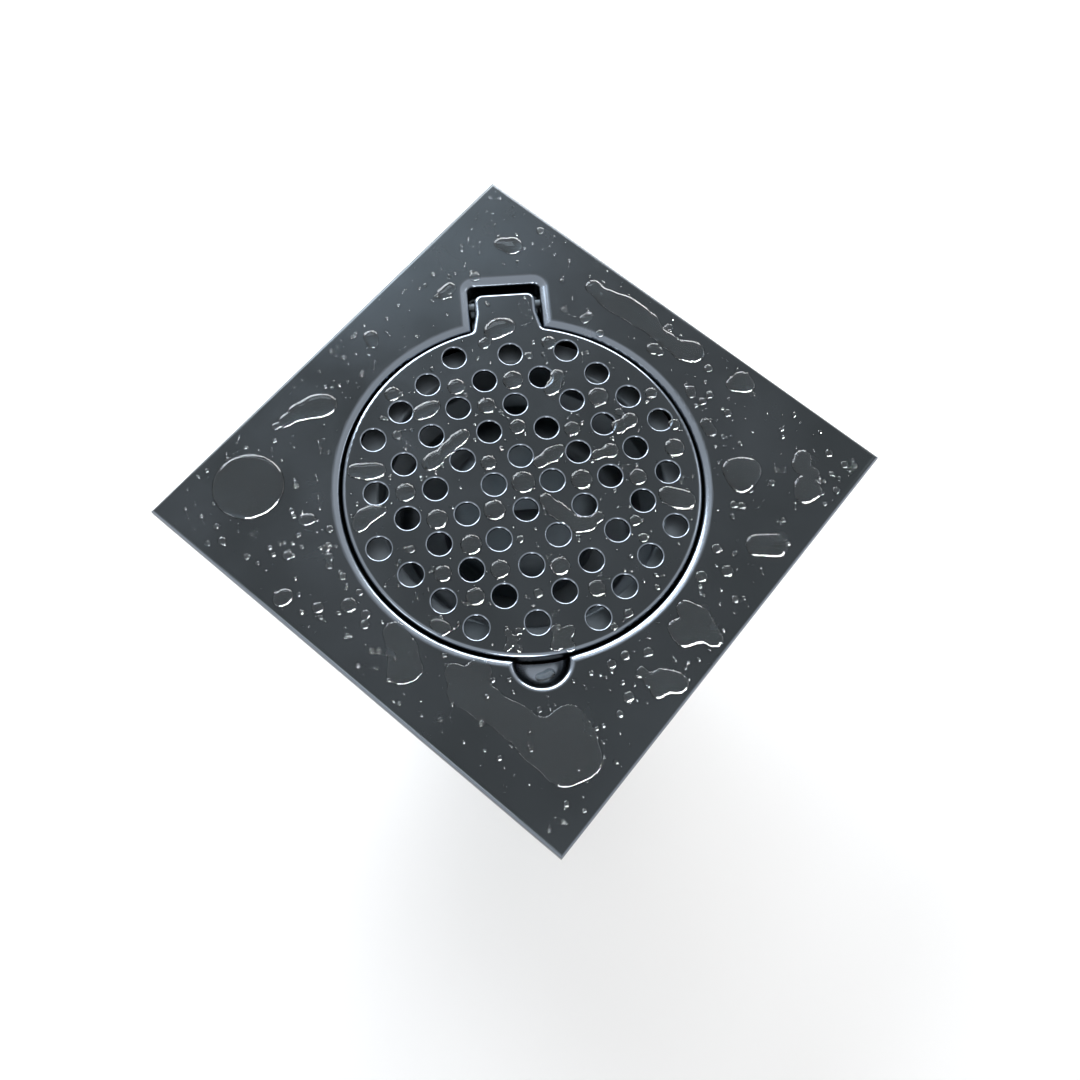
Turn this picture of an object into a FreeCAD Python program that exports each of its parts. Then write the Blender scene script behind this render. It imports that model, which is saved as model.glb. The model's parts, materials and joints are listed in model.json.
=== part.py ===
"""Square stainless floor drain with a hinged round grate and a lift-out bell trap.

Millimetres, +Z up. Everything is drawn with the plate's top face at Z = 0 and the hinge
towards +Y, then turned so that the plate's sides lie along X and Y with the hinge in the
(-X, +Y) corner, and raised so that the outlet's lower rim stands at Z = 0.
"""
import FreeCAD, Part
import math
import os
from FreeCAD import Vector

# Plate: one sheet, folded down at its four sides and drawn down in the middle
plate_side = 150.0
plate_sheet = 1.2
plate_edge_depth = 3.5
plate_edge_bend = 2.0

# Round recess that the grate lies in, with the ledge and collar at its foot
recess_radius = 52.8
recess_flare = 1.6
recess_roll = 3.5
ledge_bend = 0.8
ledge_width = 8.8
throat_roll = 1.5
collar_depth = 6.0

# Hinge pocket, a square lobe of the recess
pocket_side_gap = 1.6
pocket_tip_gap = 3.5
pocket_corner = 2.0
pocket_flare = 1.9
pocket_roll = 4.1

# Finger notch, a half-round dish opposite the hinge
notch_radius = 7.7
notch_depth = 6.0
notch_flare = 1.2
notch_roll = 1.9
notch_bowl = 4.0

# The flared edge of all three: the slope that the plate takes, and the bend from it to the wall
flare_slope = 35.0
flare_bend = 1.4

# Grate: a pressed cap with a skirt all round and a tongue for the hinge
grate_sheet = 1.0
grate_gap = 0.6
grate_bend = 1.3
grate_seat_gap = 0.25
tongue_half_width = 9.4
tongue_root_flare = 1.3
tongue_reach = 11.8
tongue_flare_length = 6.0
tongue_corner = 2.6
tongue_root_bend = 1.2
tongue_skirt = 2.6

# Drain holes: a square grid half a pitch off centre, kept inside a circle
hole_radius = 3.5
hole_pitch = 12.0
hole_field_margin = 6.0

# Hinge pin, peened over outside the pocket's side walls
pin_radius = 1.25
pin_clearance = 0.05
pin_tip_distance = 2.0
pin_under_flare = 0.94
pin_head_radius = 1.9
pin_head_thickness = 0.8
pin_head_gap = 0.4
ear_wall = 1.45
ear_floor_gap = 1.0

# Body: a drawn cup welded under the ledge, and the outlet tube welded to its foot
body_sheet = 1.2
body_weld_gap = 0.05
body_corner = 8.0
sump_depth = 5.0
outlet_radius = 25.0
outlet_wall = 1.5
outlet_length = 32.0
outlet_lead_in = 0.6

# Rubber ring under the trap's flange
seal_thickness = 1.5
seal_lip = 0.8

# Lift-out trap bowl with its riser
bowl_sheet = 1.0
bowl_depth = 34.0
bowl_gap = 1.2
bowl_flange_gap = 1.2
bowl_roll = 1.5
bowl_step_height = 14.0
bowl_step_in = 4.8
bowl_corner = 5.0
riser_radius = 15.0
riser_wall = 1.0
riser_height = 17.0
riser_tail = 5.0
riser_fit = 0.05
riser_lip = 1.2

# Bell over the riser, standing on three riveted legs
bell_radius = 24.0
bell_sheet = 1.0
bell_headroom = 4.5
bell_lift = 3.5
bell_corner = 6.0
leg_count = 3
leg_angle = 22.0
leg_sheet = 1.0
leg_overlap = 8.0
leg_foot = 4.0
leg_bend = 1.2
rivet_radius = 1.0
rivet_head_radius = 1.8
rivet_head_height = 0.6
rivet_fit = 0.05
handle_width = 7.0
handle_span = 18.0
handle_foot = 5.0
handle_height = 3.6
handle_sheet = 1.0
handle_bend = 1.0

# Mortar anchors, spot-welded under the plate's corners
anchor_width = 10.0
anchor_foot = 8.0
anchor_corner_inset = 8.4
anchor_length = 18.0
anchor_toe = 7.0
anchor_sheet = 1.2
anchor_bend = 1.5
anchor_slot_radius = 1.8

# Sizes that follow from the ones above
half_slope = math.radians(flare_slope / 2)
flare_bend_reach = math.tan(math.radians(45) - half_slope)
grate_radius = recess_radius - grate_gap
tongue_root_half = tongue_half_width + tongue_root_flare
tongue_root_y = math.sqrt(grate_radius ** 2 - tongue_root_half ** 2)
throat_radius = recess_radius - ledge_width
tongue_tip = grate_radius + tongue_reach
pin_y = tongue_tip - pin_tip_distance
pocket_flare_foot = pocket_flare * math.tan(2 * half_slope) + flare_bend * flare_bend_reach
pin_z = -(pocket_flare_foot + pin_under_flare + pin_radius + pin_clearance)
ear_radius = pin_radius + ear_wall
ledge_z = pin_z - ear_radius - ear_floor_gap
collar_z = ledge_z - plate_sheet - collar_depth
pocket_half_width = tongue_half_width + pocket_side_gap
pocket_far = tongue_tip + pocket_tip_gap
flange_radius = grate_radius - grate_sheet - bowl_flange_gap
flange_z = ledge_z + seal_thickness
bowl_radius = throat_radius - bowl_gap
bowl_floor_z = flange_z + bowl_sheet - bowl_depth
riser_top_z = bowl_floor_z + bowl_sheet + riser_height
bell_under_z = riser_top_z + bell_headroom
bell_rim_z = bowl_floor_z + bowl_sheet + bell_lift
body_radius = throat_radius + throat_roll + body_weld_gap
body_floor_z = bowl_floor_z - riser_tail - sump_depth
outlet_top_z = body_floor_z - body_sheet
drain_height = outlet_length - outlet_top_z

# The square's diagonal, with the hinge on it, turns this far from +Y
hinge_turn = 45.0

# How far a cutting solid runs past what it cuts, and how near two places count as one
overrun = 2.0
exact = 1e-6
near = 1e-3
UP = Vector(0, 0, 1)
ORIGIN = Vector(0, 0, 0)


def rounded_path(points):
    """Lines through (r, z, bend radius) points in the XZ plane, each corner rounded to its bend."""
    corners = [Vector(r, 0, z) for r, z, bend in points]
    edges = []
    start = corners[0]
    for before, corner, after, point in zip(corners, corners[1:], corners[2:], points[1:]):
        bend = point[2]
        if bend > 0:
            back = (before - corner).normalize()
            onward = (after - corner).normalize()
            half = back.getAngle(onward) / 2
            into = corner + back * (bend / math.tan(half))
            out = corner + onward * (bend / math.tan(half))
            middle = corner + (back + onward).normalize() * (bend / math.sin(half) - bend)
            edges += straight(start, into)
            edges.append(Part.Arc(into, middle, out).toShape())
            start = out
        else:
            edges += straight(start, corner)
            start = corner
    edges += straight(start, corners[-1])
    return Part.Wire(edges)


def straight(start, end):
    """One straight edge, or none where two bends meet."""
    if start.distanceToPoint(end) < exact:
        return []
    return [Part.LineSegment(start, end).toShape()]


def strip_section(points, thickness):
    """Section of a bent sheet: the path and a copy of it one thickness to its side."""
    return rounded_path(points).makeOffset2D(thickness, fill=True, openResult=True)


def drawn_shell(points, thickness, angle=360.0):
    """Sheet drawn round the Z axis, from the path of one of its faces."""
    return strip_section(points, thickness).revolve(ORIGIN, UP, angle)


def turned(points):
    """Solid of revolution whose closed outline starts and ends on the Z axis."""
    outline = rounded_path(points)
    first = Vector(points[0][0], 0, points[0][1])
    last = Vector(points[-1][0], 0, points[-1][1])
    closing = Part.LineSegment(last, first).toShape()
    return Part.Face(Part.Wire(outline.Edges + [closing])).revolve(ORIGIN, UP, 360)


def tube(outer, inner, bottom, top):
    """Plain tube on the Z axis."""
    solid = Part.makeCylinder(outer, top - bottom, Vector(0, 0, bottom))
    return solid.cut(Part.makeCylinder(inner, top - bottom + 2 * overrun, Vector(0, 0, bottom - overrun)))


def block(x_low, x_high, y_low, y_high, z_low, z_high):
    """Box between two corners."""
    return Part.makeBox(x_high - x_low, y_high - y_low, z_high - z_low, Vector(x_low, y_low, z_low))


def rounded(shape, radius, wanted):
    """Fillet on the edges that the test picks."""
    return shape.makeFillet(radius, [edge for edge in shape.Edges if wanted(edge)])


def is_vertical(edge):
    box = edge.BoundBox
    return box.ZLength > exact and box.XLength < exact and box.YLength < exact


def lies_at(edge, z):
    return abs(edge.BoundBox.ZMin - z) < exact and abs(edge.BoundBox.ZMax - z) < exact


def plate_blank(inset):
    """Block under the plate's top face, moved inwards by inset: the folded plate's outside or inside."""
    half = plate_side / 2 - inset
    bottom = -plate_edge_depth - (overrun if inset else 0)
    blank = rounded(
        block(-half, half, -half, half, bottom, -inset),
        plate_edge_bend - inset,
        lambda edge: lies_at(edge, -inset),
    )
    blank.rotate(ORIGIN, UP, -hinge_turn)
    return blank


def flared_edge(wall, flare, roll, inset):
    """Outline points from a wall up over its flared edge to the level inset below the plate's top."""
    foot = -flare * math.tan(2 * half_slope) - inset * flare_bend_reach
    return [
        (wall + inset, foot, flare_bend - inset),
        (wall + flare + inset * math.tan(half_slope), -inset, roll - inset),
        (wall + flare + roll * math.tan(half_slope), -inset, 0),
    ]


def recess_hollow(inset):
    """Round recess with ledge and throat: its hollow, or the hollow grown by inset into the sheet."""
    low = collar_z - (0 if inset else overrun)
    return turned([
        (0, low, 0),
        (throat_radius + inset, low, 0),
        (throat_radius + inset, ledge_z - inset, throat_roll - inset),
        (recess_radius + inset, ledge_z - inset, ledge_bend + inset),
        *flared_edge(recess_radius, recess_flare, recess_roll, inset),
        (0, -inset, 0),
    ])


def pocket_outline(reach, corner, z):
    """Outline of the pocket, moved outwards by reach, as a wire with rounded corners."""
    half = pocket_half_width + reach
    inner_end = tongue_root_y - overrun - reach
    slab = block(-half, half, inner_end, pocket_far + reach, z, z + overrun)
    slab = rounded(slab, corner, is_vertical)
    return [face for face in slab.Faces if lies_at(face, z)][0].OuterWire


def pocket_hollow(inset):
    """Square lobe for the tongue, with the flared edge round its top and a bend at its floor."""
    foot_point, top_point, end_point = flared_edge(0, pocket_flare, pocket_roll, inset)
    floor = ledge_z - inset
    foot = foot_point[1]
    wall = pocket_outline(inset, pocket_corner + inset, foot)
    mouth = pocket_outline(top_point[0], pocket_corner + top_point[0], -inset)
    well = Part.Face(wall).extrude(Vector(0, 0, floor - foot))
    well = rounded(well, ledge_bend + inset, lambda edge: lies_at(edge, floor) and edge.BoundBox.YMax > tongue_root_y)
    funnel = Part.makeLoft([wall, mouth], True, True)
    reach = pocket_half_width + end_point[0] + overrun
    above = block(-reach, reach, 0, pocket_far + end_point[0] + overrun, -inset, overrun)
    hollow = well.fuse([funnel, above]).removeSplitter()
    hollow = rounded(hollow, top_point[2], lambda edge: lies_at(edge, -inset) and inside_mouth(edge, top_point[0]))
    hollow = rounded(hollow, foot_point[2], lambda edge: lies_at(edge, foot))
    return hollow.common(block(-plate_side, plate_side, 0, plate_side, floor - overrun, -inset))


def inside_mouth(edge, reach):
    """Whether an edge belongs to the pocket's mouth, which lies reach outside its wall."""
    box = edge.BoundBox
    return max(-box.XMin, box.XMax) < pocket_half_width + reach + near and box.YMax < pocket_far + reach + near


def notch_hollow(inset):
    """Half-round finger dish with a bowl-shaped foot."""
    dish = turned([
        (0, -notch_depth - inset, 0),
        (notch_radius + inset, -notch_depth - inset, notch_bowl + inset),
        *flared_edge(notch_radius, notch_flare, notch_roll, inset),
        (0, -inset, 0),
    ])
    dish.translate(Vector(0, -recess_radius, 0))
    return dish


def joined_hollow(inset):
    """Pocket, recess and notch as one hollow."""
    return pocket_hollow(inset).fuse(recess_hollow(inset)).fuse(notch_hollow(inset))


def hinge_bore(radius, reach):
    """Cylinder on the hinge axis, as long on each side of the middle."""
    return Part.makeCylinder(radius, 2 * reach, Vector(-reach, pin_y, pin_z), Vector(1, 0, 0))


def frame_plate():
    """Plate, recess, pocket, notch, ledge and collar, drawn from one sheet."""
    blank = plate_blank(0).cut(plate_blank(plate_sheet))
    sheet = blank.fuse(joined_hollow(plate_sheet)).cut(joined_hollow(0))
    wall_reach = pocket_half_width + plate_sheet + overrun
    return sheet.cut(hinge_bore(pin_radius + pin_clearance, wall_reach)).removeSplitter()


def tongue_outline():
    """Plan of the tongue as a face: straight sides that flare out to meet the disc."""
    flare_y = tongue_root_y + tongue_flare_length
    inner_y = grate_radius / 2
    corners = [
        Vector(-tongue_root_half, inner_y, 0),
        Vector(tongue_root_half, inner_y, 0),
        Vector(tongue_root_half, tongue_root_y, 0),
        Vector(tongue_half_width, flare_y, 0),
        Vector(tongue_half_width, tongue_tip, 0),
        Vector(-tongue_half_width, tongue_tip, 0),
        Vector(-tongue_half_width, flare_y, 0),
        Vector(-tongue_root_half, tongue_root_y, 0),
    ]
    return Part.Face(Part.makePolygon(corners + corners[:1]))


def grate_blank():
    """Disc and tongue as one block from the skirt's rim up to the top face, with rounded plan corners."""
    rim = ledge_z + grate_seat_gap
    height = Vector(0, 0, -rim)
    disc = Part.makeCylinder(grate_radius, -rim, Vector(0, 0, rim))
    tongue = tongue_outline().extrude(height)
    tongue.translate(Vector(0, 0, rim))
    blank = disc.fuse(tongue).removeSplitter()
    blank = rounded(
        blank, tongue_corner, lambda edge: is_vertical(edge) and edge.BoundBox.YMax > tongue_tip - near
    )
    return rounded(
        blank,
        tongue_root_bend,
        lambda edge: is_vertical(edge) and abs(edge.BoundBox.XMax) > tongue_root_half - near,
    )


def grate_hole_centres():
    """Centres of the drain holes, in rows along the plate's sides."""
    field = grate_radius - hole_field_margin
    rows = int(field / hole_pitch) + 1
    steps = [(index + 0.5) * hole_pitch for index in range(-rows, rows)]
    return [Vector(x, y, 0) for x in steps for y in steps if math.hypot(x, y) <= field]


def grate():
    """Pressed cap: rounded rim, skirt down to the ledge, tongue with two ears for the pin."""
    blank = grate_blank()
    rim = blank.BoundBox.ZMin
    foot = [face for face in blank.Faces if lies_at(face, rim)][0]
    inside = Part.Face(foot.OuterWire.makeOffset2D(-grate_sheet)).extrude(Vector(0, 0, -rim - grate_sheet))
    outside = rounded(blank, grate_bend, lambda edge: lies_at(edge, 0))
    inside = rounded(inside, grate_bend - grate_sheet, lambda edge: lies_at(edge, -grate_sheet))
    cap = outside.cut(inside)

    ear_start = pin_y - ear_radius
    skirt_end = tongue_root_y - tongue_root_bend / 2
    across = pocket_half_width
    trimming = block(-across, across, skirt_end, tongue_tip + overrun, rim - overrun, -tongue_skirt)
    ears = hinge_bore(ear_radius, across).fuse(
        block(-across, across, ear_start, tongue_tip + overrun, pin_z, 0)
    )
    between_ears = tongue_half_width - grate_sheet
    ears = ears.cut(block(-between_ears, between_ears, skirt_end, tongue_tip + overrun, rim - overrun, 0))
    cap = cap.cut(trimming.cut(ears))
    cap = cap.cut(hinge_bore(pin_radius + pin_clearance, across))

    holes = []
    for centre in grate_hole_centres():
        hole = Part.makeCylinder(hole_radius, grate_sheet + 2 * overrun, centre - Vector(0, 0, grate_sheet + overrun))
        hole.rotate(ORIGIN, UP, -hinge_turn)
        holes.append(hole)
    return cap.cut(holes).removeSplitter()


def hinge_pin():
    """Plain pin with a peened head beyond each pocket wall."""
    shoulder = pocket_half_width + plate_sheet + pin_head_gap
    pin = hinge_bore(pin_radius, shoulder + pin_head_thickness)
    for side in (-1, 1):
        head_start = Vector(side * shoulder, pin_y, pin_z)
        pin = pin.fuse(Part.makeCylinder(pin_head_radius, pin_head_thickness, head_start, Vector(side, 0, 0)))
    return pin.removeSplitter()


def drain_body():
    """Deep cup under the ledge, open at its foot into the outlet tube."""
    path = [
        (body_radius, ledge_z - plate_sheet, 0),
        (body_radius, body_floor_z, body_corner),
        (outlet_radius - outlet_wall, body_floor_z, 0),
    ]
    return drawn_shell(path, body_sheet)


def outlet_tube():
    """Outlet tube with its lower rim eased to enter a pipe."""
    foot_z = outlet_top_z - outlet_length
    spigot = tube(outlet_radius, outlet_radius - outlet_wall, foot_z, outlet_top_z)
    rim = [edge for edge in spigot.Edges if lies_at(edge, foot_z) and edge.BoundBox.XMax > outlet_radius - near]
    return spigot.makeChamfer(outlet_lead_in, rim)


def seal_ring():
    """Flat rubber ring with a lip that hangs into the throat."""
    lip_foot = ledge_z - throat_roll
    inner = bowl_radius + (bowl_gap - seal_lip) / 2
    ring = tube(flange_radius, inner, ledge_z, flange_z)
    lip = tube(inner + seal_lip, inner, lip_foot, ledge_z + seal_thickness / 2)
    return ring.fuse(lip).cut(bowl_roll_space()).removeSplitter()


def bowl_roll_space():
    """What the bowl's rolled shoulder needs clear inside the rubber ring."""
    radius = bowl_radius + bowl_roll
    return Part.makeCylinder(radius, bowl_roll, Vector(0, 0, flange_z - bowl_roll / 2))


def trap_bowl():
    """Bowl with a flange on the rubber ring, a stepped wall and a hole for the riser."""
    top = flange_z + bowl_sheet
    step_z = top - bowl_step_height
    upper = bowl_radius - bowl_sheet
    lower = upper - bowl_step_in
    floor = bowl_floor_z + bowl_sheet
    path = [
        (flange_radius, top, 0),
        (upper, top, bowl_roll),
        (upper, step_z, bowl_roll),
        (lower, step_z - bowl_step_in, bowl_roll),
        (lower, floor, bowl_corner),
        (riser_radius + riser_fit, floor, 0),
    ]
    return drawn_shell(path, bowl_sheet)


def trap_riser():
    """Standpipe with its top rolled outwards and its tail through the bowl's floor."""
    path = [
        (riser_radius - riser_wall, bowl_floor_z - riser_tail, 0),
        (riser_radius - riser_wall, riser_top_z, riser_lip),
        (riser_radius + riser_lip, riser_top_z, 0),
    ]
    return drawn_shell(path, -riser_wall)


def rivet_height():
    return bell_rim_z + leg_overlap / 2


def rivet_bore(radius, inner, outer):
    """Cylinder along +X at the rivet's height."""
    return Part.makeCylinder(radius, outer - inner, Vector(inner, 0, rivet_height()), Vector(1, 0, 0))


def around_bell(shape, index):
    """Copy of a shape at one of the bell's legs."""
    copy = shape.copy()
    copy.rotate(ORIGIN, UP, index * 360.0 / leg_count)
    return copy


def bell():
    """Cup turned upside down over the riser, its top rounded."""
    inner = bell_radius - bell_sheet
    path = [
        (0, bell_under_z, 0),
        (inner, bell_under_z, bell_corner),
        (inner, bell_rim_z, 0),
    ]
    cup = drawn_shell(path, bell_sheet)
    bore = rivet_bore(rivet_radius + rivet_fit, inner - overrun, bell_radius + overrun)
    return cup.cut([around_bell(bore, index) for index in range(leg_count)])


def bell_leg(index):
    """Strip curved to the bell's wall, with its foot turned inwards on the bowl's floor."""
    outer = bell_radius - bell_sheet
    floor = bowl_floor_z + bowl_sheet
    path = [
        (outer, bell_rim_z + leg_overlap, 0),
        (outer, floor, leg_bend + leg_sheet),
        (outer - leg_foot, floor, 0),
    ]
    leg = drawn_shell(path, -leg_sheet, leg_angle)
    leg.rotate(ORIGIN, UP, -leg_angle / 2)
    leg = leg.cut(rivet_bore(rivet_radius + rivet_fit, outer - leg_sheet - overrun, outer + overrun))
    return around_bell(leg, index)


def bell_rivets():
    """One rivet through the bell and each leg, as a group of separate solids."""
    inside = bell_radius - bell_sheet - leg_sheet
    rivet = rivet_bore(rivet_radius, inside - rivet_head_height, bell_radius + rivet_head_height)
    rivet = rivet.fuse(rivet_bore(rivet_head_radius, inside - rivet_head_height, inside))
    rivet = rivet.fuse(rivet_bore(rivet_head_radius, bell_radius, bell_radius + rivet_head_height))
    rivet = rivet.cut(curved_wall(inside, bell_radius))
    return Part.makeCompound([around_bell(rivet.removeSplitter(), index) for index in range(leg_count)])


def curved_wall(inner, outer):
    """The bell wall and leg that the rivet's heads bear on, without the rivet's own hole."""
    low = rivet_height() - leg_overlap / 2
    wall = tube(outer, inner, low, low + leg_overlap)
    return wall.cut(rivet_bore(rivet_radius, inner - overrun, outer + overrun))


def bell_handle():
    """Bent strap on the bell's crown to lift it by."""
    crown = bell_under_z + bell_sheet
    half = handle_span / 2
    path = [
        (-half, crown, 0),
        (-half + handle_foot, crown, handle_bend),
        (-half + handle_foot, crown + handle_height - handle_sheet, handle_bend),
        (half - handle_foot, crown + handle_height - handle_sheet, handle_bend),
        (half - handle_foot, crown, handle_bend),
        (half, crown, 0),
    ]
    strap = strip_section(path, handle_sheet).extrude(Vector(0, handle_width, 0))
    strap.translate(Vector(0, -handle_width / 2, 0))
    return strap


def anchor(index):
    """Strap with a foot under the plate's corner, a leg into the mortar and a turned-in toe."""
    corner = plate_side / math.sqrt(2)
    outer = corner - anchor_corner_inset
    inner = outer - anchor_foot
    under = -plate_sheet
    path = [
        (outer, under, 0),
        (inner, under, anchor_bend + anchor_sheet),
        (inner, under - anchor_length, anchor_bend),
        (inner - anchor_toe, under - anchor_length - anchor_toe / 2, 0),
    ]
    strap = strip_section(path, anchor_sheet).extrude(Vector(0, anchor_width, 0))
    strap.translate(Vector(0, -anchor_width / 2, 0))
    slot = Part.makeCylinder(
        anchor_slot_radius,
        2 * anchor_foot,
        Vector(inner - anchor_foot, 0, under - anchor_length / 2),
        Vector(1, 0, 0),
    )
    strap = strap.cut(slot)
    strap.rotate(ORIGIN, UP, index * 90.0)
    return strap


def write_node(name, shape):
    """Turn a piece to the plate's axes, raise it on its outlet and write it out."""
    placed = shape.copy()
    placed.rotate(ORIGIN, UP, hinge_turn)
    placed.translate(Vector(0, 0, drain_height))
    placed.exportStep(os.path.join("parts", name + ".step"))


def main():
    os.makedirs("parts", exist_ok=True)
    write_node("frame_plate", frame_plate())
    write_node("grate", grate())
    write_node("hinge_pin", hinge_pin())
    write_node("drain_body", drain_body())
    write_node("outlet_tube", outlet_tube())
    write_node("seal_ring", seal_ring())
    write_node("trap_bowl", trap_bowl())
    write_node("trap_riser", trap_riser())
    write_node("bell", bell())
    write_node("bell_rivets", bell_rivets())
    write_node("bell_handle", bell_handle())
    for index in range(leg_count):
        write_node("bell_leg_%d" % (index + 1), bell_leg(index))
    for index in range(4):
        write_node("anchor_%d" % (index + 1), anchor(index))


main()
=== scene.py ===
"""Looks of a wet square floor drain: polished sheet, hinged grate, trap and standing water."""

import json
import math
import random

import bpy
from bpy.props import FloatProperty, FloatVectorProperty, IntProperty, PointerProperty
from mathutils import Matrix, Vector

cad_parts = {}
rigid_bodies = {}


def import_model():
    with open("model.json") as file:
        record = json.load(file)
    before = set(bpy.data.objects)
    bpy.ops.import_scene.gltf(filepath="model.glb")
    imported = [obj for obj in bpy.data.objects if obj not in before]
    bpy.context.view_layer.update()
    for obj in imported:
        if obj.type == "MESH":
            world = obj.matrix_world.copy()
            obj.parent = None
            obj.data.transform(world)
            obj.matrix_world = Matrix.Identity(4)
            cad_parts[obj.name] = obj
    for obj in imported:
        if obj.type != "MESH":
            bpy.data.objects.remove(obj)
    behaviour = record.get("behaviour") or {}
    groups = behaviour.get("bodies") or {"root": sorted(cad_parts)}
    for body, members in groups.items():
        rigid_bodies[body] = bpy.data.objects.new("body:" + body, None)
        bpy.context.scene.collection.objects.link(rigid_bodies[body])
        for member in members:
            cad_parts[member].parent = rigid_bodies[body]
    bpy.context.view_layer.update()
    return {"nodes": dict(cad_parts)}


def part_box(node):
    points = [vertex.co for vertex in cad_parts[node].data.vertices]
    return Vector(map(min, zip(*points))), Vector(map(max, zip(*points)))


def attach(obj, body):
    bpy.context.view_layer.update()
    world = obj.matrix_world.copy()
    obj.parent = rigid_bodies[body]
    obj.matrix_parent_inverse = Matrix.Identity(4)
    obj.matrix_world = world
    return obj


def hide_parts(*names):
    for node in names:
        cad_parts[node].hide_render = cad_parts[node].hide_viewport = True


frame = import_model()

bl_info = {
    "name": "Floor drain finish",
    "version": (1, 0, 0),
    "blender": (4, 5, 0),
    "location": "View3D > Sidebar > Floor drain",
    "description": "Dresses a packed floor drain with steel, rubber and standing water",
    "category": "Object",
}

MM = 0.001
PLATE_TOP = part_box("frame_plate")[1].z

# Plate and recess, in mm
PLATE_HALF = 75.0
PLATE_ROLL = 2.2
RIM_BAND = 3.0
RECESS_EDGE = 55.8
POCKET_HALF_WIDTH = 14.5
POCKET_FAR = 71.0
NOTCH_PLACE = (0.0, -52.8)
NOTCH_REACH = 9.6
NOTCH_DEPTH = 6.0

# Grate and its holes, in mm
GRATE_RADIUS = 52.2
GRATE_ROLL = 1.4
TONGUE_HALF_WIDTH = 9.0
TONGUE_ROOT = 49.2
TONGUE_TIP = 63.5
HOLE_RADIUS = 3.5
HOLE_PITCH = 12.0
HOLE_FIELD = 46.2
RIM_ROUND = 0.5
RIM_STEPS = 5
RIM_SIDES = 48
RIM_OVERLAP = 0.04
RIM_BELOW = 0.2
RIM_ABOVE = 0.4

# Turn from the plate's sides to the diagonal through hinge and notch
HINGE_TURN = math.radians(45)

# Welding and shading of the sheet: distance in mm, angles in degrees
WELD_DISTANCE = 0.002
FLAT_ANGLE = 0.4
SHEET_CREASE = 35
WATER_CREASE = 60

# Standing water: heights in mm, the rest as shares of a ball's or bead's radius
WATER_FOOT = 0.3
BALL_SINK = 0.25
BALL_SURFACE = 0.575
BALL_THRESHOLD = 0.6
BEAD_SEGMENTS = 16
BEAD_RINGS = 10
BEAD_HEIGHT = 0.62
BEAD_FOOT = 0.3
BEAD_LONGEST = 1.35
BEAD_SMALLNESS = 1.6
BEAD_REACH = 106.0
BEAD_HOLE_GAP = 0.4

FLOOR_SIZE = 6.0
LAMP_DISTANCE = 1.0
WHITE = (1.0, 1.0, 1.0)

# Name, azimuth and elevation in degrees, width and height in metres, radiance, colour
SOFTBOXES = [
    ("window", -50, 14, 0.3, 0.26, 20, WHITE),
    ("side_light", 60, 22, 0.5, 0.25, 2.5, WHITE),
    ("far_light", 118, 14, 0.7, 0.42, 15, WHITE),
    ("high_light", 142, 50, 0.34, 0.14, 3, (0.80, 0.90, 1.0)),
    ("left_light", 158, 21, 0.6, 0.6, 15, (0.90, 0.95, 1.0)),
    ("near_light", 260, 16, 0.4, 0.25, 5, WHITE),
]
WATER_GLINT = ("glint_on_water", -22, 42, 1.7, 0.7, 85, WHITE)

# Camera place in metres, with its own right, up and backward directions
CAMERA_PLACE = (0.07916, -0.10985, 0.38978)
CAMERA_AXES = (
    (0.77302, 0.63294, 0.04282),
    (-0.60370, 0.71322, 0.35620),
    (0.19491, -0.30120, 0.93343),
)

TRAP_NODES = [
    "trap_bowl", "trap_riser", "bell", "bell_handle", "bell_rivets",
    "bell_leg_1", "bell_leg_2", "bell_leg_3",
]
BODY_NODES = ["drain_body", "outlet_tube"]
ANCHOR_NODES = ["anchor_1", "anchor_2", "anchor_3", "anchor_4"]


class SteelSettings(bpy.types.PropertyGroup):
    """Colours and polish of the steel."""

    plate_dark: FloatVectorProperty(
        name="Plate dark", description="Plate steel in the darker clouds of its polish",
        subtype="COLOR", size=3, min=0, max=1, default=(0.040, 0.0465, 0.051),
    )
    plate_light: FloatVectorProperty(
        name="Plate light", description="Plate steel in the lighter clouds of its polish",
        subtype="COLOR", size=3, min=0, max=1, default=(0.051, 0.059, 0.066),
    )
    # Colour of the painted highlight on rolled edges, rims and the finger dish, lighter than the
    # plate steel
    rolled: FloatVectorProperty(
        name="Rolled edge", description="Steel burnished on rolled edges and rims",
        subtype="COLOR", size=3, min=0, max=1, default=(0.20, 0.23, 0.27),
    )
    inner_dark: FloatVectorProperty(
        name="Inner dark", description="Dull steel of the trap and body",
        subtype="COLOR", size=3, min=0, max=1, default=(0.11, 0.135, 0.155),
    )
    inner_light: FloatVectorProperty(
        name="Inner light", description="Lighter patches of the trap and body",
        subtype="COLOR", size=3, min=0, max=1, default=(0.22, 0.25, 0.28),
    )
    polish: FloatProperty(
        name="Polish", description="Roughness of the polished plate",
        default=0.21, min=0.02, max=1,
    )
    cloud_scale: FloatProperty(
        name="Cloud scale", description="Clouds of the polish in each metre", default=22, min=1,
    )


class WaterSettings(bpy.types.PropertyGroup):
    """Sizes of the standing water."""

    stand: FloatProperty(
        name="Stand", description="Greatest height of standing drops, in mm",
        default=0.8, min=0.1, max=2,
    )
    film: FloatProperty(
        name="Film", description="Height of the spread film of water, in mm",
        default=0.3, min=0.05, max=2,
    )
    rise: FloatProperty(
        name="Rise", description="Steepness of a drop's edge against a ball's",
        default=0.38, min=0.1, max=1,
    )
    cell: FloatProperty(
        name="Cell", description="Mesh size of the drops, in mm", default=0.22, min=0.1, max=2,
    )
    beads: IntProperty(
        name="Beads", description="Number of small beads on the steel", default=900, min=0,
    )
    smallest: FloatProperty(
        name="Smallest bead", description="Radius of the smallest beads, in mm",
        default=0.22, min=0.05,
    )
    largest: FloatProperty(
        name="Largest bead", description="Radius of the largest beads, in mm",
        default=0.8, min=0.1,
    )
    seed: IntProperty(name="Seed", description="Seed of the beads' places", default=7)


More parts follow.
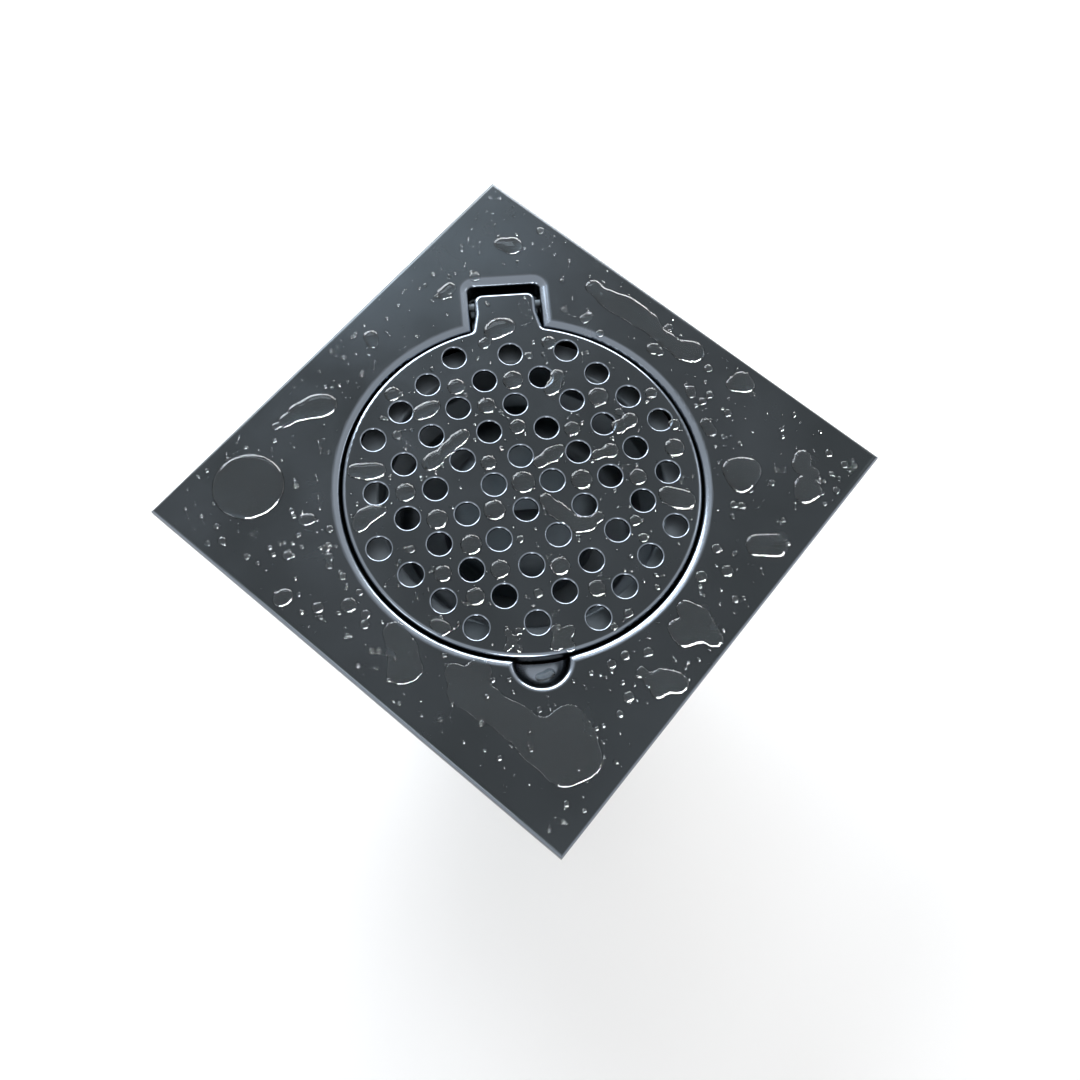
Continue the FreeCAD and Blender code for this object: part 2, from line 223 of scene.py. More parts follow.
class StudioSettings(bpy.types.PropertyGroup):
    """Floor, light and camera."""

    floor: FloatVectorProperty(
        name="Floor", description="Floor colour", subtype="COLOR", size=3, min=0, max=1,
        default=(0.66, 0.66, 0.66),
    )
    floor_glow: FloatProperty(
        name="Floor glow", description="What the floor adds to its own colour", default=0.35, min=0,
    )
    ambient: FloatProperty(
        name="Ambient", description="Level of the light from all round", default=0.25, min=0,
    )
    lens: FloatProperty(name="Lens", description="Camera lens, in mm", default=38.615, min=1)


def deselect_all():
    bpy.ops.object.select_all(action="DESELECT")


def make_active(piece):
    deselect_all()
    piece.select_set(True)
    bpy.context.view_layer.objects.active = piece


def in_edit_mode(piece, steps):
    """Run the steps on a piece with its whole mesh selected."""
    make_active(piece)
    bpy.ops.object.mode_set(mode="EDIT")
    bpy.ops.mesh.select_all(action="SELECT")
    steps()
    bpy.ops.object.mode_set(mode="OBJECT")


def scale_mesh(piece, factor):
    piece.data.transform(Matrix.Scale(factor, 4))


def copy_of_node(node, name):
    """A node's mesh in millimetres with its triangles joined up, as a new piece."""
    piece = bpy.data.objects.new(name, frame["nodes"][node].data.copy())
    bpy.context.scene.collection.objects.link(piece)
    piece.data.materials.clear()
    scale_mesh(piece, 1 / MM)
    make_active(piece)
    if piece.data.has_custom_normals:
        bpy.ops.mesh.customdata_custom_splitnormals_clear()

    def join_triangles():
        bpy.ops.mesh.remove_doubles(threshold=WELD_DISTANCE)
        bpy.ops.mesh.dissolve_limited(angle_limit=math.radians(FLAT_ANGLE), delimit=set())

    in_edit_mode(piece, join_triangles)
    return piece


def join_copies(shape, name, turns):
    """Copies of one shape, each moved by its matrix, joined as one piece in place of the shape."""
    copies = []
    for turn in turns:
        copy = bpy.data.objects.new(name, shape.data.copy())
        bpy.context.scene.collection.objects.link(copy)
        copy.data.transform(turn)
        copies.append(copy)
    bpy.data.objects.remove(shape)
    deselect_all()
    for copy in copies:
        copy.select_set(True)
    bpy.context.view_layer.objects.active = copies[0]
    bpy.ops.object.join()
    copies[0].name = name
    return copies[0]


def smooth_sheet(piece):
    """Smooth shading that keeps flat faces flat and folds crisp."""
    make_active(piece)
    bpy.ops.object.shade_smooth_by_angle(angle=math.radians(SHEET_CREASE))
    modifier = piece.modifiers.new("Even normals", "WEIGHTED_NORMAL")
    modifier.keep_sharp = True
    bpy.ops.object.modifier_apply(modifier=modifier.name)


def ramp(value, start, end):
    """0 at start, 1 at end, straight between."""
    return min(max((value - start) / (end - start), 0), 1)


def mark_painted_highlight(piece, top):
    """Store on each corner how strong the painted highlight is, lighter on rolled edges and in the
    finger dish.

    The lean is 0 on a level face and 1 on an upright wall, and the depth is in mm from the top.
    """
    mesh = piece.data
    level = {corner for face in mesh.polygons if face.normal.z > 0.9999 for corner in face.vertices}
    attribute = mesh.attributes.new("painted_highlight", "FLOAT", "POINT")
    for vertex, value in zip(mesh.vertices, attribute.data):
        lean = 1 - vertex.normal.z
        depth = top - vertex.co.z
        on_rim = max(abs(vertex.co.x), abs(vertex.co.y)) > PLATE_HALF - RIM_BAND
        # Painted highlight along rolled edges and rims, strongest on their leaning part
        if on_rim:
            rolled = ramp(lean, 0.12, 0.3) * ramp(lean, 0.6, 0.4) * ramp(depth, 2, 1)
        else:
            rolled = ramp(lean, 0, 0.025) * ramp(lean, 0.85, 0.45) * ramp(depth, 3.4, 1.4)
        # Painted glint on the floor of the finger dish
        dish = ramp(depth, 3.6, 4.6) * ramp(depth, 7.4, 6.6) * ramp(lean, 0.7, 0.3)
        on_top_face = vertex.index in level and depth < 1
        value.value = 0 if on_top_face else max(rolled, dish)


def settle(piece, body, material, nodes=()):
    """Put a finished piece in metres, with its material, on its body."""
    scale_mesh(piece, MM)
    piece.data.materials.clear()
    piece.data.materials.append(material)
    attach(piece, body)
    if nodes:
        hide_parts(*nodes)


def new_material(name):
    material = bpy.data.materials.new(name)
    material.use_nodes = True
    nodes = material.node_tree.nodes
    return material, nodes, material.node_tree.links, nodes["Principled BSDF"]


def noise_node(nodes, links, coordinate, scale, detail, distortion=0.0):
    noise = nodes.new("ShaderNodeTexNoise")
    noise.inputs["Scale"].default_value = scale
    noise.inputs["Detail"].default_value = detail
    noise.inputs["Distortion"].default_value = distortion
    links.new(coordinate, noise.inputs["Vector"])
    return noise.outputs["Fac"]


def range_node(nodes, links, value, from_low, from_high, to_low, to_high):
    node = nodes.new("ShaderNodeMapRange")
    node.inputs["From Min"].default_value = from_low
    node.inputs["From Max"].default_value = from_high
    node.inputs["To Min"].default_value = to_low
    node.inputs["To Max"].default_value = to_high
    links.new(value, node.inputs["Value"])
    return node.outputs["Result"]


def mix_node(nodes, links, factor, first, second):
    """Blend of two colours, each a colour value or another node's output."""
    node = nodes.new("ShaderNodeMix")
    node.data_type = "RGBA"
    links.new(factor, node.inputs["Factor"])
    for socket, colour in ((node.inputs["A"], first), (node.inputs["B"], second)):
        if isinstance(colour, bpy.types.NodeSocket):
            links.new(colour, socket)
        else:
            socket.default_value = (*colour, 1)
    return node.outputs["Result"]


def steel_material(name, dark, light, rolled, polish, ripple):
    """Polished sheet with cloudy tone, a painted highlight on rolled edges, smudges and a faint
    ripple.
    """
    settings = bpy.context.scene.drain_steel
    material, nodes, links, shader = new_material(name)
    coordinate = nodes.new("ShaderNodeTexCoord").outputs["Object"]

    clouds = noise_node(nodes, links, coordinate, settings.cloud_scale, 3)
    tone = mix_node(nodes, links, range_node(nodes, links, clouds, 0.35, 0.65, 0, 1), dark, light)
    # Painted highlight on rolled edges and in the finger dish, read from the stored attribute
    edge_highlight = nodes.new("ShaderNodeAttribute")
    edge_highlight.attribute_name = "painted_highlight"
    colour = mix_node(nodes, links, edge_highlight.outputs["Fac"], tone, rolled)
    links.new(colour, shader.inputs["Base Color"])

    smudge = noise_node(nodes, links, coordinate, 65, 6, 0.4)
    links.new(
        range_node(nodes, links, smudge, 0.3, 0.7, polish * 0.8, polish * 1.35),
        shader.inputs["Roughness"],
    )

    waves = noise_node(nodes, links, coordinate, 45, 2)
    bump = nodes.new("ShaderNodeBump")
    bump.inputs["Strength"].default_value = ripple
    bump.inputs["Distance"].default_value = 0.4 * MM
    links.new(waves, bump.inputs["Height"])
    links.new(bump.outputs["Normal"], shader.inputs["Normal"])
    shader.inputs["Metallic"].default_value = 1
    return material


def rubber_material():
    material, nodes, links, shader = new_material("moulded_rubber")
    coordinate = nodes.new("ShaderNodeTexCoord").outputs["Object"]
    bloom = noise_node(nodes, links, coordinate, 120, 4)
    colour = mix_node(
        nodes, links, range_node(nodes, links, bloom, 0.3, 0.7, 0, 1),
        (0.012, 0.012, 0.013), (0.03, 0.03, 0.032),
    )
    links.new(colour, shader.inputs["Base Color"])
    links.new(range_node(nodes, links, bloom, 0.3, 0.7, 0.45, 0.65), shader.inputs["Roughness"])
    return material


def water_material():
    material, nodes, links, shader = new_material("clear_water")
    coordinate = nodes.new("ShaderNodeTexCoord").outputs["Object"]
    surface = noise_node(nodes, links, coordinate, 260, 1)
    bump = nodes.new("ShaderNodeBump")
    bump.inputs["Strength"].default_value = 0.15
    bump.inputs["Distance"].default_value = 0.1 * MM
    links.new(surface, bump.inputs["Height"])
    links.new(bump.outputs["Normal"], shader.inputs["Normal"])
    shader.inputs["Base Color"].default_value = (0.56, 0.61, 0.63, 1)
    shader.inputs["Roughness"].default_value = 0.03
    shader.inputs["IOR"].default_value = 1.38
    shader.inputs["Transmission Weight"].default_value = 1
    return material


def plate_steel():
    """Polished steel of the plate and the grate, made once."""
    settings = bpy.context.scene.drain_steel
    return bpy.data.materials.get("polished_sheet") or steel_material(
        "polished_sheet", settings.plate_dark, settings.plate_light, settings.rolled,
        polish=settings.polish, ripple=0.12,
    )


def inner_steel():
    """Duller steel of everything below the plate, made once."""
    settings = bpy.context.scene.drain_steel
    return bpy.data.materials.get("dull_sheet") or steel_material(
        "dull_sheet", settings.inner_dark, settings.inner_light, settings.rolled,
        polish=0.5, ripple=0.2,
    )


def hole_places():
    """Centres of the drain holes on the plate's own axes."""
    reach = int(HOLE_FIELD // HOLE_PITCH) + 1
    steps = [(step + 0.5) * HOLE_PITCH for step in range(-reach, reach)]
    return [(x, y) for x in steps for y in steps if math.hypot(x, y) < HOLE_FIELD]


def rim_cutter(top):
    """Trumpet shapes, one in each drain hole, that round its upper rim when cut away."""
    deselect_all()
    start = HOLE_RADIUS - RIM_OVERLAP
    foot = -RIM_ROUND - RIM_BELOW
    bpy.ops.mesh.primitive_circle_add(
        vertices=RIM_SIDES, radius=start, fill_type="NGON", location=(0, 0, foot)
    )
    trumpet = bpy.context.object
    bpy.ops.object.transform_apply()
    mouth = start + RIM_ROUND
    section = [(start, -RIM_ROUND)]
    for step in range(1, RIM_STEPS + 1):
        angle = math.radians(90) * step / RIM_STEPS
        section.append((mouth - RIM_ROUND * math.cos(angle), RIM_ROUND * (math.sin(angle) - 1)))
    section.append((mouth, RIM_ABOVE))

    def draw_up():
        radius, height = start, foot
        for wide, high in section:
            rise = (0, 0, high - height)
            bpy.ops.mesh.extrude_region_move(TRANSFORM_OT_translate={"value": rise})
            bpy.ops.transform.resize(value=(wide / radius, wide / radius, 1))
            radius, height = wide, high
        bpy.ops.mesh.select_all(action="SELECT")
        bpy.ops.mesh.normals_make_consistent(inside=False)

    in_edit_mode(trumpet, draw_up)
    return join_copies(
        trumpet, "rim_cutter", [Matrix.Translation((x, y, top)) for x, y in hole_places()]
    )


class DRAIN_OT_frame_sheet(bpy.types.Operator):
    """Dress the plate with its rolled recess"""

    bl_idname = "drain.frame_sheet"
    bl_label = "Plate sheet"

    def execute(self, context):
        piece = copy_of_node("frame_plate", "frame_sheet")
        smooth_sheet(piece)
        mark_painted_highlight(piece, PLATE_TOP / MM)
        settle(piece, "frame", plate_steel(), ["frame_plate"])
        return {"FINISHED"}


class DRAIN_OT_grate_sheet(bpy.types.Operator):
    """Dress the grate and round the rims of its holes"""

    bl_idname = "drain.grate_sheet"
    bl_label = "Grate sheet"

    def execute(self, context):
        top = PLATE_TOP / MM
        piece = copy_of_node("grate", "grate_sheet")

        cutter = rim_cutter(top)
        make_active(piece)
        cut = piece.modifiers.new("Round the rims", "BOOLEAN")
        cut.operation = "DIFFERENCE"
        cut.solver = "EXACT"
        cut.object = cutter
        bpy.ops.object.modifier_apply(modifier=cut.name)
        bpy.data.objects.remove(cutter)
        smooth_sheet(piece)
        mark_painted_highlight(piece, top)
        settle(piece, "grate", plate_steel(), ["grate"])
        return {"FINISHED"}


class DRAIN_OT_inner_parts(bpy.types.Operator):
    """Dress the body, trap, anchors, pin and rubber ring"""

    bl_idname = "drain.inner_parts"
    bl_label = "Inner parts"

    def execute(self, context):
        slots = {
            "hinge_pin": "pin_steel",
            **{node: "trap_steel" for node in TRAP_NODES},
            **{node: "body_steel" for node in BODY_NODES + ANCHOR_NODES},
        }
        for node, slot in slots.items():
            piece = copy_of_node(node, node + "_sheet")
            smooth_sheet(piece)
            settle(piece, "frame", inner_steel(), [node])
        piece = copy_of_node("seal_ring", "seal_ring_rubber")
        smooth_sheet(piece)
        settle(piece, "frame", rubber_material(), ["seal_ring"])
        return {"FINISHED"}


# Standing water as chains of (x, y, radius) in mm, x to the right and y towards the hinge
PLATE_DROPS = [
    [(-70.5, 23.5, 1.2), (-67.5, 25, 2.2), (-64, 27.5, 3.1), (-59.5, 29, 4), (-56, 29.5, 3.7)],
    [(-78.5, 5, 10.6)],
    [(4, 81, 3.4), (0.5, 82, 2.1)],
    [(-16.5, 67, 2), (-18.5, 65, 2.3)],
    [(-41.5, 51.5, 2.3), (-41, 49, 1.6)],
    [
        (28, 64, 2.7), (31, 60.5, 3), (34, 58, 3.7), (37.5, 56, 4), (41, 52.5, 4), (44, 49.5, 3),
        (45.5, 46.5, 2.6), (48.5, 43.5, 3), (52, 40, 3.3), (55.5, 39, 3.9),
    ],
    [(66.5, 27, 2.6), (69, 29, 2.3), (70, 26.5, 2.9)],
    [(62, -1, 3.7), (66, -1.5, 4.3), (63.5, -5, 3.7)],
    [
        (83, 1, 2.8), (81.5, -1.5, 2.2), (85, -4, 2.2), (82, -7.5, 3.1), (81.5, -10.5, 3.1),
        (84.5, -9.5, 2.5),
    ],
    [(65, -25, 3.6), (70, -25.5, 3.9)],
    [
        (41.5, -42, 2.6), (44.5, -45, 4), (46, -49, 3.7), (40.5, -50, 3.4), (38.5, -47.5, 2.8),
        (48.5, -51.5, 2.5),
    ],
    [(29, -61.5, 1.9), (32, -61, 2.8), (35.5, -62.5, 3.3), (36.8, -63.3, 2.4), (31, -64.5, 2.5)],
    [(24, 53, 1.7), (25.5, 54, 1.3)],
    [(18, 56.5, 1)],
    [(28, 47.5, 1.3)],
    [(45, 51.5, 1.3)],
    [(49.5, 48, 1.3)],
    [(43.5, 41, 2), (45.5, 39.5, 1.3)],
    [(53, 26, 1.6), (53, 24.5, 1.3)],
    [(58.5, 24, 1.3)],
    [(56, 22, 1.3)],
    [(59.5, 33, 1.3)],
    [(56, 14.5, 1.9), (57, 12, 1.9)],
    [(63, 17.5, 1.3)],
    [(53, -25, 1.5)],
    [(55, -32, 1.8)],
    [(47.5, -33, 1.8)],
    [(56, -40.5, 1.2)],
    [(91, 2, 1.3)],
    [(95, -2, 1.2)],
    [(98, -2.5, 0.9)],
    [(91, -10, 1.2)],
    [(74.5, -2, 0.9)],
    [(72.5, -6, 0.9)],
    [(60, -12, 1.2), (62.5, -12.5, 1.2)],
    [(23, -54, 1.4)],
    [(19, -56, 1.4)],
    [(29.5, -53.5, 1.4)],
    [(27, -59, 1.7)],
    [(22.5, -65.5, 1.6)],
    [(19.5, -70, 1.1)],
    [(-63, -6.5, 1.8), (-61.5, -6.5, 1.8)],
    [(-66.5, -3.5, 0.9)],
    [(-86, -11, 1.2)],
    [(-90, -11.5, 0.9)],
    [(-87.5, -6.5, 0.9)],
    [(-68, -17, 1.4)],
    [(-57, -15.5, 1.2), (-56.5, -18.5, 1.4), (-56.5, -21, 1.1)],
    [(-56, -10, 1.2)],
    [(-53, -24.5, 1.1)],
    [(-48.5, -29.5, 1.1)],
    [(-69, -29, 2.5), (-70.3, -29.8, 2)],
    [(-60, -33, 1.7)],
    [(-51.5, -33, 2.3)],
    [(-47, -36, 1.4)],
    [(-47.5, -39, 1.4)],
    [(-46, -46.5, 0.8)],
    [(-35.5, -48.5, 1.1)],
    [(-26.5, -49.5, 0.8)],
    [(13.5, 86, 1.4)],
    [(-8.5, 70.5, 1.7)],
]
PLATE_FILM = [
    [(-39.5, -42, 3.3), (-37.5, -47, 4.4), (-38.5, -53, 3.8), (-35.5, -52.5, 3.3)],
    [
        (-22, -60, 4.6), (-16, -64, 5.2), (-9.5, -69, 5.2), (-3, -75, 6.5), (3.5, -81.5, 6.9),
        (7, -76, 5.9), (5.5, -70.5, 4.6), (9, -81.5, 4.2),
    ],
    [(-24, -54.5, 2.7), (-17.5, -55, 3.8)],
]
GRATE_DROPS = [
    [(-36, 31.5, 2.5)],
    [(-28.5, 24.5, 2.2), (-26, 25.5, 2.8), (-24, 26.5, 1.9)],
    [(-17, 32.5, 2.8)],
    [(-35.5, 18, 1.5)],
    [(-26.5, 8, 2.4), (-24.5, 9.5, 2.7), (-21, 12.5, 2.4), (-18, 15, 2.5), (-16, 16.5, 1.9)],
    [(-7.5, 46.5, 1.9), (-4.5, 50.5, 2.9), (-2.5, 52, 3.3), (0, 52, 2.6)],
    [(0, 33.5, 3.2)],
    [(13.5, 34, 2.2), (12, 30.5, 2.5), (10.5, 29, 1.6)],
    [(25, 26, 3.2)],
    [(-8.5, 25.5, 2.8)],
    [(0, 18, 2.5)],
    [(16, 16, 2.5)],
    [(12, 45.5, 2.3)],
    [(5.5, 41.5, 1.3)],
    [(41, 26, 1.9)],
    [(30, 15.5, 2.5), (33.5, 17.5, 2.5)],
    [(46.5, 15, 1.9)],
    [(30.5, 20.5, 1.3)],
    [(-48, 7.5, 2.4), (-44.5, 7, 3), (-41.5, 7, 2.4)],
    [(-47.5, -9.5, 2.3), (-46, -7, 2.9), (-43.5, -6, 2.4), (-41, -5.5, 1.5)],
    [(-34, -0.5, 3)],
    [(-25.5, -9.5, 3.2)],
    [(-16.5, -18, 3.2)],
    [(-33.5, -18, 1.2)],
    [(-9.5, 7, 2.4)],
    [(5.5, 6, 2.1), (9, 8, 2.8), (11.5, 9.5, 1.8)],
    [(0, 0, 3.6)],
    [(17, -0.5, 3.3)],
    [(-9, -8, 3.3)],
    [
        (6, -6, 2.1), (8.5, -9, 2.7), (11, -11.5, 2.7), (14.5, -14.5, 2.7), (17.5, -14.5, 2.4),
        (20.5, -12.5, 1.8),
    ],
    [(-2.5, -17.5, 1.2)],
    [(22.5, 7, 1.8)],
    [(26.5, 8, 2.5)],
    [(33.5, -1, 2.7)],
    [(41, -7, 2.4), (43.5, -8.5, 3.3), (46.5, -9.5, 3)],
    [(45.5, 7.5, 3.1)],
    [(31, -14.5, 1.8)],
    [(32.5, -20, 1.5)],
    [(-25, -26, 2.6)],
    [(-16.5, -33.5, 2.8)],
    [(-9, -26, 2.9)],
    [(1, -34, 1.4)],
    [(-26, -42, 2.2), (-28, -40.5, 1.7)],
    [(8, -26.5, 2.9)],
    [(17.5, -34, 2.6)],
    [(25.5, -42, 1.4)],
    [(21, -45.5, 1.1)],
]
GRATE_FILM = [
    [(-8.5, -44.5, 1.1), (-5.5, -44.5, 1.1), (-9, -49, 1.1), (-6, -49.5, 1.1), (-7.5, -47, 1.7)],
    [(5, -45, 1.7), (8.5, -45.5, 1.7), (4.5, -49.5, 1.7), (8, -50, 1.7), (6.5, -47.5, 2.2)],
]
NOTCH_WATER = [
    [(2.2, -56, 1.9), (-0.4, -56.6, 1.5)],
]


def turned_to_plate(x, y):
    """A place given from the hinge diagonal, on the plate's own axes."""
    cos, sin = math.cos(HINGE_TURN), math.sin(HINGE_TURN)
    return x * cos - y * sin, x * sin + y * cos


def pour(name, chains, body, stand, material, depth=0.0):
    """Standing water: balls along each chain run together, are cut in the steel and settle flat.

    The depth is how far the steel under it lies below the plate's top.
    """
    settings = bpy.context.scene.drain_water
    deselect_all()
    bpy.ops.object.metaball_add(type="BALL", radius=1, location=(0, 0, 0))
    water = bpy.context.object
    water.data.resolution = settings.cell
    water.data.render_resolution = settings.cell
    water.data.threshold = BALL_THRESHOLD
    water.data.elements.remove(water.data.elements[0])
    for chain in chains:
        for x, y, radius in chain:
            ball = water.data.elements.new(type="BALL")
            ball.co = (*turned_to_plate(x, y), -BALL_SINK * radius)
            ball.radius = radius / BALL_SURFACE
            ball.stiffness = 2
    bpy.context.view_layer.update()
    bpy.ops.object.convert(target="MESH")
    piece = bpy.context.object
    piece.name = name
    in_edit_mode(
        piece,
        lambda: bpy.ops.mesh.bisect(
            plane_co=(0, 0, -WATER_FOOT), plane_no=(0, 0, 1), use_fill=True, clear_inner=True
        ),
    )
    for vertex in piece.data.vertices:
        if vertex.co.z > 0:
            vertex.co.z = stand * math.tanh(settings.rise * vertex.co.z / stand)
        vertex.co.z += PLATE_TOP / MM - depth
    make_active(piece)
    bpy.ops.object.shade_smooth_by_angle(angle=math.radians(WATER_CREASE))
    settle(piece, body, material)


def is_on_grate(x, y, margin):
    """Whether a bead this wide lies on the grate's steel, clear of its edge and holes."""
    on_tongue = abs(x) + margin < TONGUE_HALF_WIDTH and TONGUE_ROOT < y < TONGUE_TIP - margin
    if math.hypot(x, y) + margin > GRATE_RADIUS - GRATE_ROLL and not on_tongue:
        return False
    row_x, row_y = turned_to_plate(x, y)
    centre_x = (math.floor(row_x / HOLE_PITCH) + 0.5) * HOLE_PITCH
    centre_y = (math.floor(row_y / HOLE_PITCH) + 0.5) * HOLE_PITCH
    if math.hypot(centre_x, centre_y) > HOLE_FIELD:
        return True
    return math.hypot(row_x - centre_x, row_y - centre_y) - margin > HOLE_RADIUS + BEAD_HOLE_GAP


def is_on_plate(x, y, margin):
    """Whether a bead this wide lies on the plate's flat face."""
    if max(abs(part) for part in turned_to_plate(x, y)) + margin > PLATE_HALF - PLATE_ROLL:
        return False
    if math.hypot(x, y) - margin < RECESS_EDGE:
        return False
    if abs(x) - margin < POCKET_HALF_WIDTH and 0 < y < POCKET_FAR + margin:
        return False
    return math.hypot(x - NOTCH_PLACE[0], y - NOTCH_PLACE[1]) - margin > NOTCH_REACH


def bead_shape():
    """A small flattened bead, one millimetre in radius, with its foot in the steel."""
    deselect_all()
    bpy.ops.mesh.primitive_uv_sphere_add(
        segments=BEAD_SEGMENTS, ring_count=BEAD_RINGS, radius=1, location=(0, 0, 0)
    )
    bead = bpy.context.object

    def flatten():
        bpy.ops.transform.resize(value=(1, 1, BEAD_HEIGHT))
        bpy.ops.mesh.bisect(
            plane_co=(0, 0, -BEAD_FOOT), plane_no=(0, 0, 1), use_fill=True, clear_inner=True
        )

    in_edit_mode(bead, flatten)
    make_active(bead)
    bpy.ops.object.shade_smooth_by_angle(angle=math.radians(WATER_CREASE))
    return bead


def scatter(name, fits, body, count, draw, material):
    """Copies of one bead at random places where it fits, joined as one piece."""
    settings = bpy.context.scene.drain_water
    spread = settings.largest / settings.smallest
    turns = []
    while len(turns) < count:
        x, y = draw.uniform(-BEAD_REACH, BEAD_REACH), draw.uniform(-BEAD_REACH, BEAD_REACH)
        radius = settings.smallest * spread ** (draw.random() ** BEAD_SMALLNESS)
        angle, stretch = draw.uniform(0, math.pi), draw.uniform(1, BEAD_LONGEST)
        if not fits(x, y, radius * stretch):
            continue
        place = Matrix.Translation((*turned_to_plate(x, y), PLATE_TOP / MM))
        size = Matrix.Diagonal((radius * stretch, radius, radius, 1))
        turns.append(place @ Matrix.Rotation(angle, 4, "Z") @ size)
    settle(join_copies(bead_shape(), name, turns), body, material)


class DRAIN_OT_water(bpy.types.Operator):
    """Lay standing drops and films of water on the plate and the grate"""

    bl_idname = "drain.water"
    bl_label = "Standing water"

    def execute(self, context):
        settings = context.scene.drain_water
        material = water_material()
        pour("drops_on_plate", PLATE_DROPS, "frame", settings.stand, material)
        pour("film_on_plate", PLATE_FILM, "frame", settings.film, material)
        pour("drop_in_notch", NOTCH_WATER, "frame", settings.stand, material, NOTCH_DEPTH)
        pour("drops_on_grate", GRATE_DROPS, "grate", settings.stand, material)
        pour("film_on_grate", GRATE_FILM, "grate", settings.film, material)
        return {"FINISHED"}


class DRAIN_OT_beads(bpy.types.Operator):
    """Scatter small beads of water on the plate and the grate"""

    bl_idname = "drain.beads"
    bl_label = "Beads of water"

    def execute(self, context):
        settings = context.scene.drain_water
        draw = random.Random(settings.seed)
        material = bpy.data.materials["clear_water"]
        scatter("beads_on_plate", is_on_plate, "frame", settings.beads * 2 // 3, draw, material)
        scatter("beads_on_grate", is_on_grate, "grate", settings.beads // 3, draw, material)
        return {"FINISHED"}


def softbox(name, azimuth, elevation, width, height, radiance, colour):
    """Area lamp that faces the plate, with its brightness given as radiance."""
    turn, rise = math.radians(azimuth), math.radians(elevation)
    outward = Vector(
        (math.cos(turn) * math.cos(rise), math.sin(turn) * math.cos(rise), math.sin(rise))
    )
    data = bpy.data.lights.new(name, "AREA")
    data.shape = "RECTANGLE"
    data.size = width
    data.size_y = height
    data.energy = radiance * math.pi * width * height
    data.color = colour
    lamp = bpy.data.objects.new(name, data)
    lamp.location = outward * LAMP_DISTANCE + Vector((0, 0, PLATE_TOP))
    lamp.rotation_euler = outward.to_track_quat("Z", "Y").to_euler()
    lamp.visible_camera = False
    bpy.context.scene.collection.objects.link(lamp)
    return lamp


def white_world(ambient):
    """White to the camera, metal and glass, and a plain level to everything else."""
    world = bpy.data.worlds.new("white_studio")
    bpy.context.scene.world = world
    world.use_nodes = True
    nodes, links = world.node_tree.nodes, world.node_tree.links
    background = nodes["Background"]
    path = nodes.new("ShaderNodeLightPath")
    seen = path.outputs["Is Camera Ray"]
    for kind in ("Is Glossy Ray", "Is Transmission Ray"):
        either = nodes.new("ShaderNodeMath")
        either.operation = "MAXIMUM"
        links.new(seen, either.inputs[0])
        links.new(path.outputs[kind], either.inputs[1])
        seen = either.outputs["Value"]
    strength = range_node(nodes, links, seen, 0, 1, ambient, 1)
    background.inputs["Color"].default_value = (1, 1, 1, 1)
    links.new(strength, background.inputs["Strength"])


def studio_floor():
    """Pale floor with a glow of its own, on which the drain's shadow stays."""
    settings = bpy.context.scene.drain_studio
    deselect_all()
    bpy.ops.mesh.primitive_plane_add(size=FLOOR_SIZE, location=(0, 0, 0))
    floor = bpy.context.object
    floor.name = "studio_floor"
    material, _, _, shader = new_material("studio_floor")
    shader.inputs["Base Color"].default_value = (*settings.floor, 1)
    shader.inputs["Roughness"].default_value = 0.9
    shader.inputs["Specular IOR Level"].default_value = 0.2
    shader.inputs["Emission Color"].default_value = (1, 1, 1, 1)
    shader.inputs["Emission Strength"].default_value = settings.floor_glow
    floor.data.materials.append(material)


def light_water():
    """Lamp that reaches the water only and gives the drops their glints."""
    wet = bpy.data.collections.new("wet_pieces")
    for piece in bpy.data.objects:
        if "clear_water" in piece.material_slots:
            wet.objects.link(piece)
    glint = softbox(*WATER_GLINT)
    glint.light_linking.receiver_collection = wet
    glint.visible_transmission = False


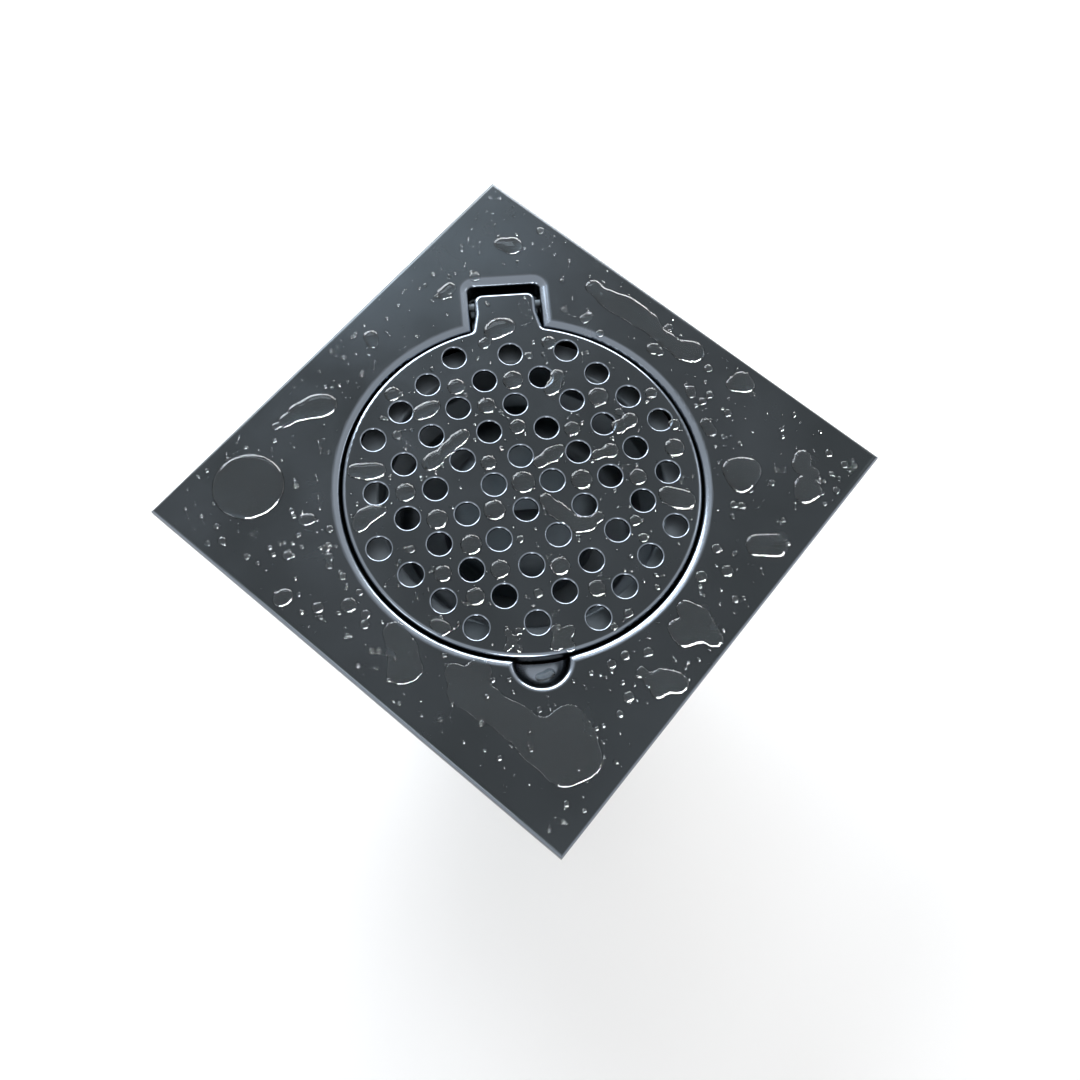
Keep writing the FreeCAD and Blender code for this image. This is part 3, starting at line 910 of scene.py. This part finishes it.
def photo_camera():
    """Camera over the plate, turned as in the photo."""
    scene = bpy.context.scene
    data = bpy.data.cameras.new("photo_camera")
    data.sensor_width = 36
    data.lens = scene.drain_studio.lens
    data.clip_start = 0.01
    camera = bpy.data.objects.new("photo_camera", data)
    turn = Matrix(CAMERA_AXES).transposed().to_4x4()
    camera.matrix_world = Matrix.Translation(CAMERA_PLACE) @ turn
    scene.collection.objects.link(camera)
    scene.camera = camera


class DRAIN_OT_studio(bpy.types.Operator):
    """Set up the floor, the light and the camera"""

    bl_idname = "drain.studio"
    bl_label = "Studio"

    def execute(self, context):
        studio_floor()
        white_world(context.scene.drain_studio.ambient)
        for lamp in SOFTBOXES:
            softbox(*lamp)
        light_water()
        photo_camera()
        context.scene.view_settings.view_transform = "Standard"
        return {"FINISHED"}


class DRAIN_PT_panel(bpy.types.Panel):
    """Buttons for the drain's pieces and their settings"""

    bl_idname = "DRAIN_PT_panel"
    bl_label = "Floor drain"
    bl_space_type = "VIEW_3D"
    bl_region_type = "UI"
    bl_category = "Floor drain"

    def draw(self, context):
        for operator in OPERATORS:
            self.layout.operator(operator.bl_idname)
        for scene_name in SETTINGS:
            group = getattr(context.scene, scene_name)
            box = self.layout.box()
            for name in group.__annotations__:
                box.prop(group, name)


SETTINGS = {
    "drain_steel": SteelSettings,
    "drain_water": WaterSettings,
    "drain_studio": StudioSettings,
}
OPERATORS = (
    DRAIN_OT_frame_sheet,
    DRAIN_OT_grate_sheet,
    DRAIN_OT_inner_parts,
    DRAIN_OT_water,
    DRAIN_OT_beads,
    DRAIN_OT_studio,
)


def register():
    for group in SETTINGS.values():
        bpy.utils.register_class(group)
    for operator in OPERATORS + (DRAIN_PT_panel,):
        bpy.utils.register_class(operator)
    for name, group in SETTINGS.items():
        setattr(bpy.types.Scene, name, PointerProperty(type=group))


def unregister():
    for name in SETTINGS:
        delattr(bpy.types.Scene, name)
    for operator in (DRAIN_PT_panel,) + OPERATORS:
        bpy.utils.unregister_class(operator)
    for group in SETTINGS.values():
        bpy.utils.unregister_class(group)


def main():
    register()
    bpy.ops.drain.frame_sheet()
    bpy.ops.drain.grate_sheet()
    bpy.ops.drain.inner_parts()
    bpy.ops.drain.water()
    bpy.ops.drain.beads()
    bpy.ops.drain.studio()


if __name__ == "__main__":
    main()
